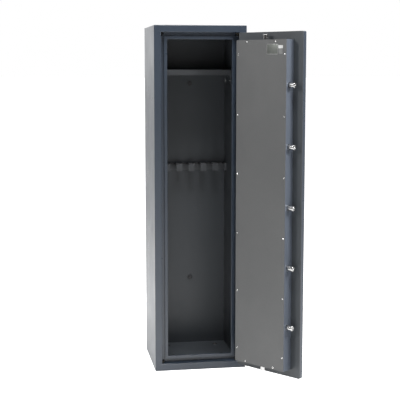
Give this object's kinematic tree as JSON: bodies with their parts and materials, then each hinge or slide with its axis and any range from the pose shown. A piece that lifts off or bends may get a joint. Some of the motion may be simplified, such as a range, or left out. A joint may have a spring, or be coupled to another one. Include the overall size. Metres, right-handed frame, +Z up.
{
  "type": "gun safe",
  "caption": "Tall double-walled steel gun safe with a rebated door on barrel hinges, handle-driven round bolts on three sides, a key lock, a shelf and a notched barrel rest.",
  "frame": {"origin": "centre of the cabinet's underside, on the floor", "axes": "+Z up; +X across, towards the door's hinges; +Y through the depth, from the door to the back"},
  "size_m": [0.58, 0.6853, 1.5],
  "materials": {
    "graphite_paint": "semi-gloss graphite powder coat with a fine orange-peel texture",
    "interior_paint": "satin dark graphite powder coat",
    "mineral_filling": null,
    "cap_plastic": "moulded black plastic",
    "bright_steel": "bright nickel plate with turning marks on the end faces",
    "liner_sheet": "dark grey fine-grain coated sheet with a soft sheen",
    "zinc_steel": "zinc-plated mill finish",
    "brass": "turned brass",
    "chrome_trim": "satin chrome plate",
    "plate_metal": "blank anodised plate",
    "label_film": "blank white film"
  },
  "bodies": {
    "cabinet": {"outer_casing": "graphite_paint", "base_plate": "graphite_paint", "back_panel": "graphite_paint", "frame_left": "graphite_paint", "frame_right": "graphite_paint", "frame_top": "graphite_paint", "frame_bottom": "graphite_paint", "inner_lining": "interior_paint", "wall_filling": "mineral_filling", "frame_filling": "mineral_filling", "shelf": "interior_paint", "shelf_clips": "interior_paint", "shelf_screws": "bright_steel", "barrel_rest": "interior_paint", "notch_liners": "cap_plastic", "anchor_caps": "cap_plastic", "hinge_frame_leaves": "graphite_paint", "hinge_pins": "bright_steel", "hinge_washers": "brass"},
    "door": {"door_front_pan": "graphite_paint", "door_inner_plate": "graphite_paint", "door_filling": "mineral_filling", "hinge_door_leaves": "graphite_paint", "boltwork_cover": "graphite_paint", "door_liner": "liner_sheet", "liner_rivets": "bright_steel", "rating_plate": "plate_metal", "rating_label": "label_film", "bolt_guide_rail": "zinc_steel", "rod_guides": "zinc_steel", "end_bolt_guides": "zinc_steel", "spindle_bush": "brass", "handle_rose": "chrome_trim", "hard_plate": "zinc_steel", "lock_case": "zinc_steel", "lock_cover": "zinc_steel", "lock_screws": "zinc_steel", "key_escutcheon": "chrome_trim"},
    "side_boltwork": {"side_bolts": "bright_steel", "bolt_bar": "zinc_steel", "bolt_nuts": "zinc_steel", "drive_plate": "zinc_steel", "blocking_finger": "zinc_steel"},
    "handle": {"handle_lever": "chrome_trim", "spindle": "zinc_steel", "drive_disc": "zinc_steel"},
    "top_boltwork": {"top_bolt": "bright_steel", "top_rod": "zinc_steel"},
    "bottom_boltwork": {"bottom_bolt": "bright_steel", "bottom_rod": "zinc_steel"},
    "key_drive": {"key_curtain": "brass"},
    "lock_bolt": {"lock_bolt": "zinc_steel"},
    "key_cover": {"key_cover": "chrome_trim"}
  },
  "joints": [
    {"name": "door_hinge", "type": "hinge", "parent": "cabinet", "child": "door", "pos_m": [0.179, -0.201, 0.75], "axis": [0, 0, 1], "range_deg": [-128.8, 51.2]},
    {"name": "boltwork_slide", "type": "slide", "parent": "door", "child": "side_boltwork", "axis": [-0.6266, 0.7793, 0], "range_m": [0, 0.024]},
    {"name": "handle_turn", "type": "hinge", "parent": "door", "child": "handle", "pos_m": [0.27259, -0.34773, 0.75], "axis": [-0.7793, -0.6266, 0], "range_deg": [0, 60]},
    {"name": "top_bolt_slide", "type": "slide", "parent": "door", "child": "top_boltwork", "axis": [0, 0, -1], "range_m": [0, 0.024]},
    {"name": "bottom_bolt_slide", "type": "slide", "parent": "door", "child": "bottom_boltwork", "axis": [0, 0, 1], "range_m": [0, 0.024]},
    {"name": "key_turn", "type": "hinge", "parent": "door", "child": "key_drive", "pos_m": [0.29891, -0.38046, 0.592], "axis": [-0.7793, -0.6266, 0], "range_deg": [0, 90]},
    {"name": "lock_bolt_slide", "type": "slide", "parent": "door", "child": "lock_bolt", "axis": [0, 0, 1], "range_m": [0, 0.014]},
    {"name": "key_cover_swing", "type": "hinge", "parent": "door", "child": "key_cover", "pos_m": [0.30312, -0.37708, 0.606], "axis": [-0.7793, -0.6266, 0], "range_deg": [-110, 110]}
  ],
  "couplings": [
    {"joint": "handle_turn", "follows": "boltwork_slide", "rad_per_m": 43.633},
    {"joint": "top_bolt_slide", "follows": "boltwork_slide", "ratio": 1},
    {"joint": "bottom_bolt_slide", "follows": "boltwork_slide", "ratio": 1},
    {"joint": "lock_bolt_slide", "follows": "key_turn", "m_per_rad": 0.0089127}
  ]
}
